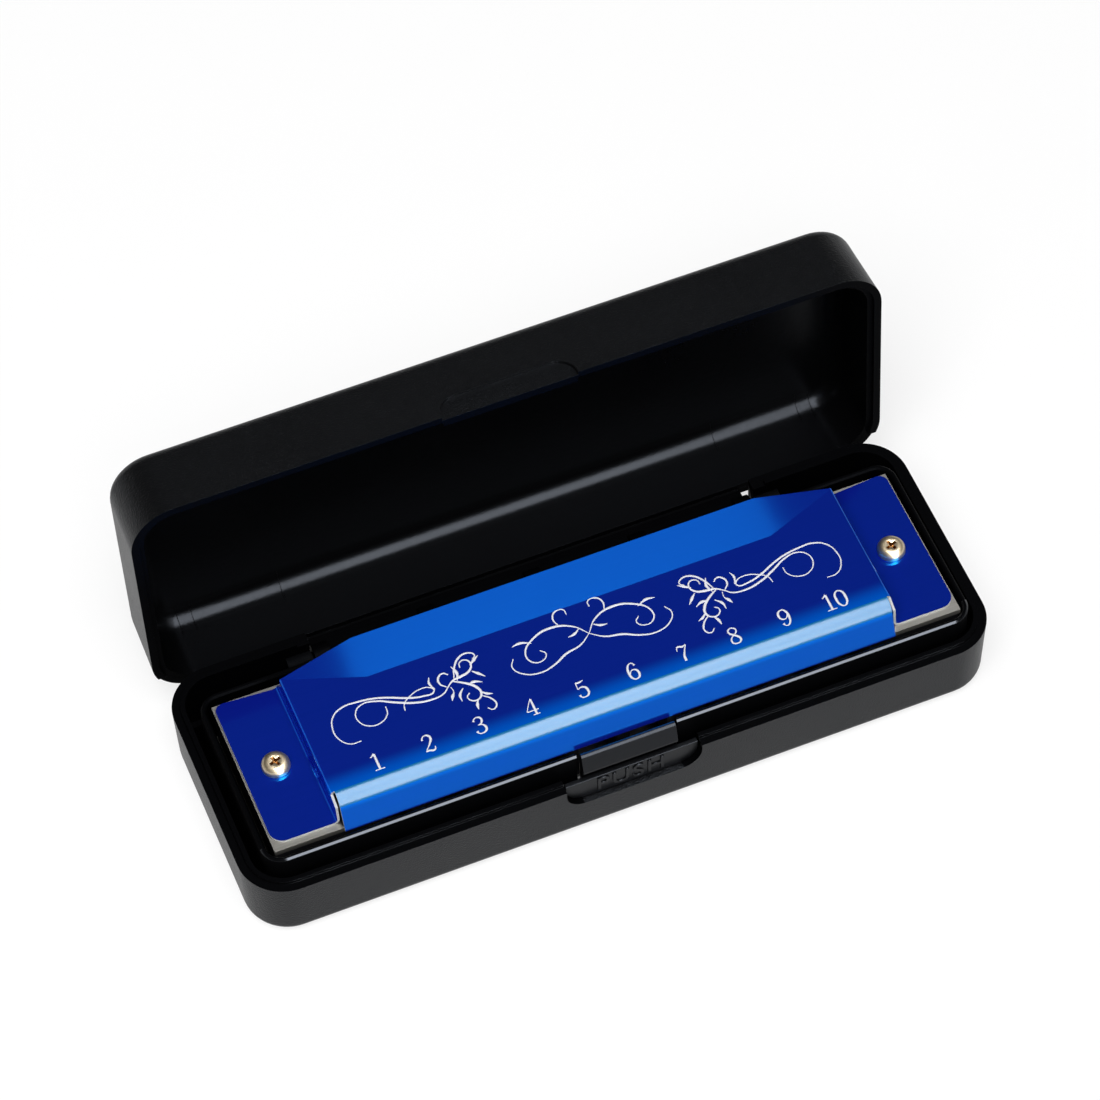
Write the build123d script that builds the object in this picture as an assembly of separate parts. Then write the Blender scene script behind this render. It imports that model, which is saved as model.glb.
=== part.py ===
"""Plastic snap case for a ten-hole harmonica, with the harmonica lying in it.

Frame: millimetres, +X along the case, +Y towards the hinge, +Z up. The origin is the centre of the
base's flat underside. The lid is drawn closed and then swung open to its stop, where it rests.
"""
from build123d import *
import math
import os

# ---- case: outer form -------------------------------------------------------------------------
CASE_W = 38.8            # width at the parting line
CORNER_R = 6.7           # plan radius at the parting line
BASE_H = 11.2            # underside to the ledge that the lid sits on
LID_H = 11.7             # parting line to the lid's top
DRAFT = 1.8              # mould draft of all the outer walls, degrees
EDGE_R = 2.1             # rounding round the underside and round the lid's top
WALL = 1.9
FLOOR = 1.3
END_GAP = 1.25           # tub to the wall, at each end of the case
LID_TOP = 1.2
BASE_INNER_BEVEL = 0.6   # where the base's wall meets its floor
LID_INNER_R = 2.6        # rounding where the lid's wall meets its top
SEAM = 0.05              # gap left between the closed rims

# ---- rim: ledge outside, raised lip inside ----------------------------------------------------
LEDGE = 1.2              # width of the ledge outside the lip
LIP_H = 0.5
LIP_GAP = 0.12           # lid's rebate to lip, all round and above
LIP_BREAK = 35.5         # the lip stops this far either side of the middle, at the hinge

# ---- tub that holds the harmonica -------------------------------------------------------------
TUB_WALL = 0.8
TUB_TOP = 15.0
TUB_R = 3.0              # outer corner radius
TUB_RIM_BEVEL = 0.25
TUB_SETBACK = 0.6        # tub wall's inner face behind the tongue's back
TUB_GAP_X = 0.8          # reed plate to tub, at each end
TUB_GAP_FRONT = 0.27     # cover skirt to tub
TUB_GAP_BACK = 1.65      # reed plate to tub
GUSSET_T = 0.9
GUSSET_H = 9.6

# ---- hinge ------------------------------------------------------------------------------------
HINGE_Z = 7.06
BARREL_R = 2.07
HINGE_HALF = 33.3        # half length of the lid's hinge leaf
HINGE_SIDE_GAP = 0.4     # leaf to the sides of the base's window
LEAF_T = 1.4
OPEN_ANGLE = 93.5        # closed to the stop, degrees
STOP_GAP = 0.02
PIN_R = 1.2
PIN_L = 2.2              # how far each pin goes into its cheek
PIN_GAP = 0.05           # radial running clearance
PIN_END_GAP = 0.3
CHEEK_WALL = 1.2         # plastic round each pin's socket
CORES = 4                # pockets that lighten the barrel
CORE_DEPTH = 0.9
CORE_RIB = 2.4
REAR_RELIEF = 0.6        # how much the lid's rear rim is cut back to swing over the ledge
RELIEF_START = 15.5      # the cut-back begins this far behind the middle

# ---- latch ------------------------------------------------------------------------------------
PAD_HALF = 9.8           # push pad, half width
PAD_BOTTOM = 7.2
PAD_TOP = 11.0
PAD_T = 0.75
PAD_CORNER_R = 2.8
PAD_INSET = 1.0          # pad's face behind the wall's outer face
PAD_GAP = 0.2            # pad to its window
LID_RECESS = 0.6         # depth of the thumb recess in the lid's front
LID_RECESS_H = 3.3
TONGUE_HALF = 7.0
TONGUE_T = 0.9
TONGUE_SLIT = 0.4        # tongue to tub wall, each side
TONGUE_TOP = 15.4
NECK_GAP = 0.1           # catch to the tongue's front face
HOOK_OUT = 0.65          # how far the hook stands out in front of the tongue
HOOK_H = 0.5             # height of the hook's blunt tip
CATCH_H = 0.75           # height of the lid's catch under the hook
HOOK_GAP = 0.08          # catch to hook, and hook to the lid's wall
ROOT_R = 0.7
ROOT_GAP = 0.05
ROOT_RISE = 0.25         # root axis above the floor

# ---- harmonica --------------------------------------------------------------------------------
HARP_H = 20.0            # over both covers
HARP_LIFT = 0.02         # gap under the lower cover
HOLES = 10
PITCH = 7.5
COMB_W = 25.2
COMB_T = 6.5
CHAMBER_W = 5.6
CHAMBER_LONG = 21.0      # first chamber, from the comb's front
CHAMBER_SHORT = 14.5     # last chamber
COMB_SHORT = 0.3         # comb's ends behind the plates' ends
PLATE_W = 25.2
PLATE_T = 0.9
REED_LONG = 16.5
REED_SHORT = 10.0
REED_W = 2.0
REED_T = 0.25
SLOT_GAP = 0.08          # reed to the sides and tip of its slot
REED_ROOT_L = 2.8
REED_ROOT_W = 2.8
REED_SETBACK = 2.0       # comb's front to the reed's front end
RIVET_R = 0.8            # the heads; the shanks are hidden in reed and plate
RIVET_T = 0.3
NAIL_SIDE = 0.9          # square shank
NAIL_HEAD_R = 0.95
NAIL_HEAD_T = 0.35
NAIL_DEPTH = 2.4
NAIL_EDGE = 2.3          # outer nails to the first and the last chamber
NAIL_BACK = 1.6          # nails to the plates' back edge
NAIL_ROOM = 1.05         # outer nail heads to the covers' end walls

# ---- harmonica covers: sheet metal, bent -------------------------------------------------------
SHEET = 0.35
FLARE_TAPER = 11.2       # the rear flare dies away over this length at each end
CROWN_H = 8.9            # flat top above the harmonica's middle
NOSE_Y = 11.0            # where skirt and top would meet, in front of the middle
NOSE_R = 2.0             # rounding between them, outside
SKIRT_LOW = 3.75         # skirt's lower edge above the middle
SKIRT_GAP = 0.03         # skirt to the comb's front
FLARE_START = 6.0        # rear end of the flat top in the middle
FLARE_START_END = 9.9    # and at the body's ends
REAR_Y = 12.1            # rear edge in the middle
REAR_Y_END = 10.3        # and at the body's ends
REAR_RISE_END = 0.08     # what is left of the flare's rise at the body's ends
TAB_L = 9.15             # the body's end to the tab's end
TAB_END = 0.25           # strip of reed plate left bare beyond each tab
TAB_FRONT = 1.0          # strip left bare in front of it
TAB_BACK = 0.1           # and behind it
TAB_R_FRONT = 2.0
TAB_R_BACK = 1.4
SCREW_R = 0.9
SCREW_CLEAR = 0.1
HEAD_R = 2.0
HEAD_H = 1.4
HEAD_BEVEL = 0.6
HEAD_SIDES = 12          # facets round a rivet's or a nail's head
NUT_AF = 3.6             # across flats
NUT_H = 1.5
CUT_PAST = 3.0           # a hollow's cutter runs this far past the edges it opens
BIG = 100.0              # longer than anything that is cut through

# ---- places that follow from the sizes ---------------------------------------------------------
BODY_HALF = ((HOLES - 1) * PITCH / 2 + CHAMBER_W / 2 + NAIL_EDGE + NAIL_HEAD_R + NAIL_ROOM
             + SHEET)              # half length of the covers' raised body
FLARE_HALF = BODY_HALF - FLARE_TAPER
TAB_HALF = BODY_HALF + TAB_L
SCREW_X = BODY_HALF + TAB_L / 2
PLATE_L = 2 * (TAB_HALF + TAB_END)
COMB_L = PLATE_L - 2 * COMB_SHORT
TUB_HALF = PLATE_L / 2 + TUB_GAP_X + TUB_WALL
CASE_L = 2 * (TUB_HALF + END_GAP + WALL)   # length at the parting line
FRONT = -CASE_W / 2
INNER_FRONT = FRONT + WALL
HINGE_Y = CASE_W / 2 - BARREL_R
CATCH_TOP = BASE_H + SEAM + CATCH_H
NECK_Y = INNER_FRONT + NECK_GAP
TONGUE_BACK = NECK_Y + TONGUE_T
HOOK_Y = NECK_Y - HOOK_OUT
HOOK_BOTTOM = CATCH_TOP + HOOK_GAP
ROOT_Y = NECK_Y + TONGUE_T / 2
ROOT_Z = FLOOR + ROOT_RISE
PAD_Y = FRONT + PAD_INSET
HARP_Z = FLOOR + HARP_LIFT + HARP_H / 2
SKIRT_Y = COMB_W / 2 + SKIRT_GAP + SHEET
TUB_INNER_FRONT = TONGUE_BACK + TUB_SETBACK
HARP_Y = TUB_INNER_FRONT + TUB_GAP_FRONT + SKIRT_Y
TUB_BACK = HARP_Y + PLATE_W / 2 + TUB_GAP_BACK + TUB_WALL
TUB_FRONT = TUB_INNER_FRONT - TUB_WALL
PLATE_TOP = COMB_T / 2 + PLATE_T


def draft_in(drop):
    """How far a drafted wall has moved inwards at a distance from the parting line."""
    return drop * math.tan(math.radians(DRAFT))


def block(x, y, z):
    """A box given by its lower and upper limit along each axis."""
    sizes = [limits[1] - limits[0] for limits in (x, y, z)]
    middle = [(limits[0] + limits[1]) / 2 for limits in (x, y, z)]
    return Pos(*middle) * Box(*sizes)


def rod(x, y, z, radius):
    """A round bar along X between two limits."""
    middle = Pos((x[0] + x[1]) / 2, y, z)
    return middle * Rot(0, 90, 0) * Cylinder(radius, x[1] - x[0])


def tray_form(inset, start, reach, up):
    """The case's plan, drawn in by an inset, run with draft from a height for a distance."""
    plane = Plane(origin=(0, 0, start), z_dir=(0, 0, 1 if up else -1))
    plan = RectangleRounded(CASE_L - 2 * inset, CASE_W - 2 * inset, CORNER_R - inset)
    return extrude(plane * plan, amount=reach, taper=DRAFT)


def rim_plate(inset, low, high):
    """A straight plate of the case's plan, drawn in by an inset, between two heights."""
    plan = RectangleRounded(CASE_L - 2 * inset, CASE_W - 2 * inset, CORNER_R - inset)
    return extrude(Pos(0, 0, low) * plan, amount=high - low)


def front_slot(half, low, high, radius, y, rounded_top=False):
    """A bar along Y with two rounded corners, at its bottom or at its top."""
    face = Plane.XZ * Pos(0, (low + high) / 2) * Rectangle(2 * half, high - low)
    bar = Pos(0, y[1], 0) * extrude(face, amount=y[1] - y[0])
    uprights = bar.edges().filter_by(Axis.Y).sort_by(Axis.Z)
    return fillet(uprights[2:] if rounded_top else uprights[:2], radius)


def tub():
    """The thin inner wall round the harmonica, slit for the tongue, with its corner gussets."""
    middle = Pos(0, (TUB_FRONT + TUB_BACK) / 2, FLOOR)
    depth = TUB_BACK - TUB_FRONT
    plan = RectangleRounded(2 * TUB_HALF, depth, TUB_R)
    room = RectangleRounded(2 * (TUB_HALF - TUB_WALL), depth - 2 * TUB_WALL, TUB_R - TUB_WALL)
    wall = extrude(middle * (plan - room), amount=TUB_TOP - FLOOR)
    wall = chamfer(wall.faces().sort_by(Axis.Z)[-1].edges(), TUB_RIM_BEVEL)
    slit = TONGUE_HALF + TONGUE_SLIT
    wall -= block((-slit, slit), (FRONT, 0), (FLOOR, BIG))
    for side in (-1, 1):
        reach = sorted((side * (TUB_HALF - TUB_R), side * (CASE_L / 2 - WALL)))
        y = (TUB_BACK - TUB_WALL, TUB_BACK - TUB_WALL + GUSSET_T)
        wall += block(reach, y, (FLOOR, GUSSET_H)) - extrude(middle * room, amount=BIG)
    return wall


def base_shell():
    """The lower half: drafted tray, ledge and lip, tub, hinge cheeks, push-pad window."""
    body = tray_form(0, BASE_H, BASE_H, up=False)
    body = fillet(body.faces().sort_by(Axis.Z)[0].edges(), EDGE_R)
    body += rim_plate(LEDGE, BASE_H, BASE_H + LIP_H)
    hollow = tray_form(WALL, BASE_H + LIP_H, BASE_H + LIP_H - FLOOR, up=False)
    body -= chamfer(hollow.faces().sort_by(Axis.Z)[0].edges(), BASE_INNER_BEVEL)
    body -= block((-LIP_BREAK, LIP_BREAK), (0, BIG), (BASE_H, BIG))
    body += tub()
    lean = math.radians(OPEN_ANGLE - 90)
    face_y = CASE_W / 2 - draft_in(BASE_H - HINGE_Z + BARREL_R)
    stop = HINGE_Z - BARREL_R / math.cos(lean) - (face_y - HINGE_Y) * math.tan(lean) - STOP_GAP
    half = HINGE_HALF + HINGE_SIDE_GAP
    cheek_r = PIN_R + PIN_GAP + CHEEK_WALL
    for side in (-1, 1):
        x = sorted((side * half, side * (half + PIN_L + PIN_END_GAP + CHEEK_WALL)))
        cheek = rod(x, HINGE_Y, HINGE_Z, cheek_r)
        cheek += block(x, (HINGE_Y - cheek_r, HINGE_Y + cheek_r), (FLOOR, HINGE_Z))
        body += cheek & block(x, (0, CASE_W / 2 - WALL), (0, BASE_H))
    body -= block((-half, half), (HINGE_Y - BARREL_R, BIG), (stop, BIG))
    socket = half + PIN_L + PIN_END_GAP
    body -= rod((-socket, socket), HINGE_Y, HINGE_Z, PIN_R + PIN_GAP)
    window_r = PAD_CORNER_R + PAD_GAP
    body -= front_slot(PAD_HALF + PAD_GAP, PAD_BOTTOM - PAD_GAP, BASE_H + BASE_H,
                       window_r, (FRONT - CUT_PAST, TUB_FRONT))
    slit = (-TONGUE_HALF - TONGUE_SLIT, TONGUE_HALF + TONGUE_SLIT)
    body -= block(slit, (NECK_Y - NECK_GAP, TUB_INNER_FRONT), (FLOOR, BIG))
    body -= rod(slit, ROOT_Y, ROOT_Z, ROOT_R + ROOT_GAP)
    return body


def hinge_leaf():
    """The lid's leaf: a flat run down to a cored barrel with a pin at each end."""
    x = (-HINGE_HALF, HINGE_HALF)
    leaf = block(x, (CASE_W / 2 - LEAF_T, CASE_W / 2), (HINGE_Z, BASE_H + SEAM))
    leaf += rod(x, HINGE_Y, HINGE_Z, BARREL_R)
    pitch = (2 * HINGE_HALF - CORE_RIB) / CORES
    for index in range(CORES):
        start = -HINGE_HALF + CORE_RIB + index * pitch
        y = (HINGE_Y - BARREL_R, HINGE_Y - BARREL_R + CORE_DEPTH)
        leaf -= block((start, start + pitch - CORE_RIB), y, (0, BASE_H))
    reach = HINGE_HALF + HINGE_SIDE_GAP + PIN_L
    return leaf + rod((-reach, reach), HINGE_Y, HINGE_Z, PIN_R)


def lid_shell():
    """The upper half, drawn closed and swung open: rebate, catch, thumb recess, hinge leaf."""
    rim = BASE_H + SEAM
    body = tray_form(0, rim, LID_H - SEAM, up=True)
    body = fillet(body.faces().sort_by(Axis.Z)[-1].edges(), EDGE_R)
    hollow = tray_form(WALL, rim, LID_H - SEAM - LID_TOP, up=True)
    body -= fillet(hollow.faces().sort_by(Axis.Z)[-1].edges(), LID_INNER_R)
    catch = block((-PAD_HALF, PAD_HALF), (FRONT, INNER_FRONT), (0, BIG))
    body -= rim_plate(LEDGE - LIP_GAP, rim, BASE_H + LIP_H + LIP_GAP) - catch
    hook_half = TONGUE_HALF + TONGUE_SLIT
    pocket = (CATCH_TOP, TONGUE_TOP + TONGUE_SLIT)
    body -= block((-hook_half, hook_half), (HOOK_Y - HOOK_GAP, INNER_FRONT + CUT_PAST), pocket)
    body -= front_slot(PAD_HALF + PAD_GAP, rim - CUT_PAST, rim + LID_RECESS_H,
                       PAD_CORNER_R + PAD_GAP, (FRONT - CUT_PAST, FRONT + LID_RECESS),
                       rounded_top=True)
    body -= block((-BIG, BIG), (RELIEF_START, BIG), (rim, BASE_H + REAR_RELIEF)) - block(
        (-HINGE_HALF, HINGE_HALF), (0, BIG), (0, BIG))
    body += hinge_leaf()
    return body.rotate(Axis((0, HINGE_Y, HINGE_Z), (1, 0, 0)), -OPEN_ANGLE)


def latch_tongue():
    """Springy tongue: root, neck, hook at the top, and the push pad in front of the neck."""
    shoulder = HOOK_BOTTOM + HOOK_H
    tip_z = TONGUE_TOP - TONGUE_T / 2
    side = Polyline((NECK_Y, ROOT_Z), (NECK_Y, HOOK_BOTTOM), (HOOK_Y, HOOK_BOTTOM),
                    (HOOK_Y, shoulder), (NECK_Y, tip_z))
    crown = ThreePointArc((NECK_Y, tip_z), (ROOT_Y, TONGUE_TOP), (TONGUE_BACK, tip_z))
    back = Polyline((TONGUE_BACK, tip_z), (TONGUE_BACK, ROOT_Z), (NECK_Y, ROOT_Z))
    profile = make_face(side + crown + back)
    arm = Pos(-TONGUE_HALF, 0, 0) * extrude(Plane.YZ * profile, amount=2 * TONGUE_HALF)
    arm += rod((-TONGUE_HALF, TONGUE_HALF), ROOT_Y, ROOT_Z, ROOT_R)
    arm += front_slot(PAD_HALF, PAD_BOTTOM, PAD_TOP, PAD_CORNER_R, (PAD_Y, PAD_Y + PAD_T))
    return arm + block((-TONGUE_HALF, TONGUE_HALF), (PAD_Y + PAD_T, NECK_Y),
                       (PAD_BOTTOM, PAD_TOP - PAD_T))


def hole_x(index):
    """Middle of a hole, counted from the left."""
    return (index - (HOLES - 1) / 2) * PITCH


def graded(index, first, last):
    """A length that shrinks evenly from the lowest note to the highest."""
    return first + (last - first) * index / (HOLES - 1)


def in_case(shape):
    """Move a shape drawn about the harmonica's own middle to where it lies in the tub."""
    return Pos(0, HARP_Y, HARP_Z) * shape


def screw_holes(radius):
    """Two upright bars to cut the holes for the cover screws."""
    holes = [Pos(side * SCREW_X, 0, 0) * Cylinder(radius, BIG) for side in (-1, 1)]
    return holes[0] + holes[1]


def nail_places():
    """Where the nails that hold a reed plate stand."""
    y = PLATE_W / 2 - NAIL_BACK
    outer = hole_x(HOLES - 1) + CHAMBER_W / 2 + NAIL_EDGE
    inner = hole_x(HOLES // 2) - PITCH / 2
    return [(-outer, y), (inner, y), (outer, y), (-outer, -y), (outer, -y)]


def nail_holes():
    """Upright square bars to cut the holes for the nails."""
    return [Pos(x, y, 0) * Box(NAIL_SIDE, NAIL_SIDE, BIG) for x, y in nail_places()]


def low_head(x, y, z, radius, height):
    """The flat head of a rivet or a nail, standing on a height."""
    return Pos(x, y, z) * extrude(RegularPolygon(radius, HEAD_SIDES), amount=height)


def comb():
    """The body with its ten chambers, open at the front and closed by the plates."""
    body = Box(COMB_L, COMB_W, COMB_T)
    for index in range(HOLES):
        depth = graded(index, CHAMBER_LONG, CHAMBER_SHORT)
        x = hole_x(index)
        body -= block((x - CHAMBER_W / 2, x + CHAMBER_W / 2), (-BIG, -COMB_W / 2 + depth),
                      (-BIG, BIG))
    return in_case(body - screw_holes(SCREW_R + SCREW_CLEAR) - nail_holes())


def reed_span(index, upper):
    """Front end, rear end and rivet place of one reed: upper ones are held at the rear."""
    length = graded(index, REED_LONG, REED_SHORT)
    front = -COMB_W / 2 + REED_SETBACK
    if upper:
        return front + SLOT_GAP, front + length, front + length - REED_ROOT_L / 2
    return front, front + length - SLOT_GAP, front + REED_ROOT_L / 2


def reed_plate(upper):
    """Brass plate with a slot for each reed, seen in the plate's own place."""
    z = (COMB_T / 2, PLATE_TOP) if upper else (-PLATE_TOP, -COMB_T / 2)
    plate = block((-PLATE_L / 2, PLATE_L / 2), (-PLATE_W / 2, PLATE_W / 2), z)
    half = REED_W / 2 + SLOT_GAP
    for index in range(HOLES):
        low, high, _ = reed_span(index, upper)
        slot = (low - SLOT_GAP, high - REED_ROOT_L)
        if not upper:
            slot = (low + REED_ROOT_L, high + SLOT_GAP)
        plate -= block((hole_x(index) - half, hole_x(index) + half), slot, (-BIG, BIG))
    return in_case(plate - screw_holes(SCREW_R + SCREW_CLEAR) - nail_holes())


def reed(index, upper):
    """One reed: a wider root under its rivet and a narrow tongue over the slot."""
    low, high, _ = reed_span(index, upper)
    x = hole_x(index)
    z = (COMB_T / 2 - REED_T, COMB_T / 2) if upper else (-PLATE_TOP - REED_T, -PLATE_TOP)
    root = (high - REED_ROOT_L, high) if upper else (low, low + REED_ROOT_L)
    strip = block((x - REED_W / 2, x + REED_W / 2), (low, high), z)
    strip += block((x - REED_ROOT_W / 2, x + REED_ROOT_W / 2), root, z)
    return in_case(strip)


def rivets(upper):
    """The ten rivet heads of one plate, each on the root of its reed."""
    level = (COMB_T / 2 if upper else -PLATE_TOP) - REED_T - RIVET_T
    heads = [low_head(hole_x(index), reed_span(index, upper)[2], level, RIVET_R, RIVET_T)
             for index in range(HOLES)]
    return Compound([in_case(head) for head in heads])


def plate_nails(upper):
    """Short nails through one plate into the comb."""
    group = []
    for x, y in nail_places():
        nail = low_head(x, y, PLATE_TOP, NAIL_HEAD_R, NAIL_HEAD_T)
        nail += Pos(x, y, PLATE_TOP - (PLATE_T + NAIL_DEPTH) / 2) * Box(
            NAIL_SIDE, NAIL_SIDE, PLATE_T + NAIL_DEPTH)
        group.append(in_case(nail if upper else mirror(nail, about=Plane.XY)))
    return Compound(group)


def cover_section(x, flare_y, rear_y, rear_z, sheet):
    """One cross-section of a cover's body; with a sheet thickness, that of the hollow inside it."""
    top = CROWN_H - sheet
    low = SKIRT_LOW - sheet
    lean = (SKIRT_Y - NOSE_Y) / (CROWN_H - SKIRT_LOW)
    nose = (-NOSE_Y + sheet - lean * sheet, top)
    past = CUT_PAST if sheet else 0
    rise = (rear_z - CROWN_H) / (rear_y - flare_y)
    rear = (rear_y + past, top + rise * (rear_y + past - flare_y))
    outline = Polyline((-SKIRT_Y + sheet - lean * sheet, low), nose, (flare_y, top), rear,
                       (rear_y + past, low), (-SKIRT_Y + sheet - lean * sheet, low))
    face = make_face(outline)
    corner = face.vertices().sort_by(lambda vertex: math.dist((vertex.X, vertex.Y), nose))[0]
    return Pos(x, 0, 0) * (Plane.YZ * fillet(corner, NOSE_R - sheet))


def cover_body(half, sheet):
    """Loft through the cover's end, flare and middle sections, from left to right."""
    end = (FLARE_START_END, REAR_Y_END, CROWN_H + REAR_RISE_END)
    full = (FLARE_START, REAR_Y, HARP_H / 2)
    places = ((-half, end), (-FLARE_HALF, full), (FLARE_HALF, full), (half, end))
    return loft([cover_section(x, *sizes, sheet) for x, sizes in places], ruled=True)


def cover_tab(side):
    """The flat tab at one end of a cover, with its outer corners rounded."""
    x = sorted((side * (BODY_HALF - SHEET), side * TAB_HALF))
    tab = block(x, (TAB_FRONT - PLATE_W / 2, PLATE_W / 2 - TAB_BACK),
                (PLATE_TOP, PLATE_TOP + SHEET))
    for corner, radius in ((0, TAB_R_FRONT), (-1, TAB_R_BACK)):
        outer = tab.edges().filter_by(Axis.Z).group_by(Axis.X)[0 if side < 0 else -1]
        tab = fillet(outer.sort_by(Axis.Y)[corner], radius)
    return tab


def cover(upper):
    """A bent cover: skirt, rounded nose, flat top, rear flare, closed ends and two tabs."""
    body = cover_body(BODY_HALF, 0) - cover_body(BODY_HALF - SHEET, SHEET)
    body -= block((-BIG, BIG), (-SKIRT_Y + SHEET, BIG), (0, PLATE_TOP))
    body += cover_tab(-1) + cover_tab(1) - screw_holes(SCREW_R + SCREW_CLEAR)
    return in_case(body if upper else mirror(body, about=Plane.XY))


def cover_screws():
    """Two pan-head screws down through both covers."""
    top = PLATE_TOP + SHEET
    group = []
    for side in (-1, 1):
        head = Cylinder(HEAD_R, HEAD_H)
        head = chamfer(head.edges().sort_by(Axis.Z)[-1], HEAD_BEVEL)
        screw = Pos(0, 0, top + HEAD_H / 2) * head
        screw += Pos(0, 0, -NUT_H / 2) * Cylinder(SCREW_R, 2 * top + NUT_H)
        group.append(in_case(Pos(side * SCREW_X, 0, 0) * screw))
    return Compound(group)


def cover_nuts():
    """The hexagon nuts under the lower cover."""
    group = []
    for side in (-1, 1):
        hexagon = RegularPolygon(NUT_AF / 2, 6, major_radius=False) - Circle(SCREW_R)
        nut = extrude(hexagon, amount=NUT_H)
        place = Pos(side * SCREW_X, 0, -PLATE_TOP - SHEET - NUT_H)
        group.append(in_case(place * nut))
    return Compound(group)


def nodes():
    """Every piece by its node name."""
    pieces = {"base_shell": base_shell(), "lid_shell": lid_shell(), "latch_tongue": latch_tongue(),
              "comb": comb(), "cover_screws": cover_screws(), "cover_nuts": cover_nuts()}
    for name, upper in (("upper", True), ("lower", False)):
        pieces["cover_" + name] = cover(upper)
        pieces["reed_plate_" + name] = reed_plate(upper)
        pieces["rivets_" + name] = rivets(upper)
        pieces["plate_nails_" + name] = plate_nails(upper)
        for index in range(HOLES):
            pieces[f"reed_{name}_{index + 1:02d}"] = reed(index, upper)
    return pieces


os.makedirs("parts", exist_ok=True)
for node, shape in nodes().items():
    export_step(shape, f"parts/{node}.step")
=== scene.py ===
import logging
import math
from collections.abc import Callable, Iterable
from dataclasses import dataclass, field
from enum import Enum

import bpy
from mathutils import Matrix, Vector


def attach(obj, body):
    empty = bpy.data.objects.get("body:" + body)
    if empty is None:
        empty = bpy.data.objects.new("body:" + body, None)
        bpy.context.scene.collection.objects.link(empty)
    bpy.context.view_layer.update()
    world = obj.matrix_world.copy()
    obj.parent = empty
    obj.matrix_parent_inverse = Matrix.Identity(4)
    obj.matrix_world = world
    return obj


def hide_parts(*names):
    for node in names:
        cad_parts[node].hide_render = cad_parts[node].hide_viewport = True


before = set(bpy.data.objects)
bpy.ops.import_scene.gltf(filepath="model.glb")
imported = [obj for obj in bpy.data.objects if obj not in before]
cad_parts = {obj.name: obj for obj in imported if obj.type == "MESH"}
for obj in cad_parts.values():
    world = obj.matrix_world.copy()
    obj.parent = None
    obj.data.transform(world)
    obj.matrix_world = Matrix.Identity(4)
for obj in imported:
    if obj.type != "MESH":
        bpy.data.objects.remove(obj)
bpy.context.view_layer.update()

LOG = logging.getLogger("harmonica_case")
MM = 0.001          # a millimetre, in metres
TOUCH = 0.01 * MM   # points closer than this are one point

Piece = bpy.types.Object
Material = bpy.types.Material
Node = bpy.types.Node
Socket = bpy.types.NodeSocket
Sockets = bpy.types.bpy_prop_collection
Palette = dict[str, Material]
Pair = tuple[float, float]
Colour = tuple[float, float, float]
Point = tuple[float, float, float]
Stroke = list[tuple[float, float, float]]
Surface = tuple[Socket, dict[str, object]]

WHITE: Colour = (1.0, 1.0, 1.0)


# Bench work: small helpers that every sub-assembly uses

def deselect_all() -> None:
    """Leave edit mode and deselect every object."""
    if bpy.context.object and bpy.context.object.mode != "OBJECT":
        bpy.ops.object.mode_set(mode="OBJECT")
    bpy.ops.object.select_all(action="DESELECT")


def take(obj: Piece) -> None:
    """Leave edit mode and make one object the only selected and active one.

    Args:
        obj: The object.
    """
    deselect_all()
    obj.select_set(True)
    bpy.context.view_layer.objects.active = obj


def pick(obj: Piece, kind: str, test: Callable[[object], bool] = lambda element: True) -> None:
    """Open an object in edit mode with only the wanted part of its mesh selected.

    Args:
        obj: The object, which is made active.
        kind: "FACE", "EDGE" or "VERT".
        test: Says of one mesh element whether it is wanted. All are, if it is left out.
    """
    take(obj)
    bpy.ops.object.mode_set(mode="EDIT")
    bpy.ops.mesh.select_mode(type=kind)
    bpy.ops.mesh.select_all(action="DESELECT")
    bpy.ops.object.mode_set(mode="OBJECT")
    mesh = obj.data
    for element in {"FACE": mesh.polygons, "EDGE": mesh.edges, "VERT": mesh.vertices}[kind]:
        element.select = test(element)
    bpy.ops.object.mode_set(mode="EDIT")


def edge_ends(obj: Piece, edge: bpy.types.MeshEdge) -> tuple[Vector, ...]:
    """The two end points of an edge."""
    return tuple(obj.data.vertices[index].co for index in edge.vertices)


def lies_at(obj: Piece, **limits: float) -> Callable[[bpy.types.MeshEdge], bool]:
    """A test for the edges that lie on given coordinates.

    Args:
        obj: The object that the edges belong to.
        **limits: Any of x, y and z.

    Returns:
        The test, true where both ends of an edge match.
    """
    return lambda edge: all(abs(getattr(end, axis) - value) < TOUCH
                            for end in edge_ends(obj, edge) for axis, value in limits.items())


def looks_down(face: bpy.types.MeshPolygon) -> bool:
    """Whether a face looks straight down, to within a few degrees."""
    straight_down = -0.99
    return face.normal.z < straight_down


def modify(obj: Piece, kind: str, **settings: object) -> None:
    """Add a modifier, set it and apply it.

    Args:
        obj: The object to change.
        kind: The modifier's type, such as "BEVEL".
        **settings: Values for the modifier's properties.
    """
    take(obj)
    modifier = obj.modifiers.new(kind.title(), kind)
    for name, value in settings.items():
        setattr(modifier, name, value)
    bpy.ops.object.modifier_apply(modifier=modifier.name)


def settle(obj: Piece) -> Piece:
    """Put an object's place, turn and scale into its mesh.

    Args:
        obj: The object.

    Returns:
        The same object.
    """
    take(obj)
    bpy.ops.object.transform_apply(location=True, rotation=True, scale=True)
    return obj


def smooth(obj: Piece, degrees: float) -> None:
    """Shade an object smooth, except across edges that turn by more than an angle."""
    take(obj)
    bpy.ops.object.shade_smooth_by_angle(angle=math.radians(degrees))


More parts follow.
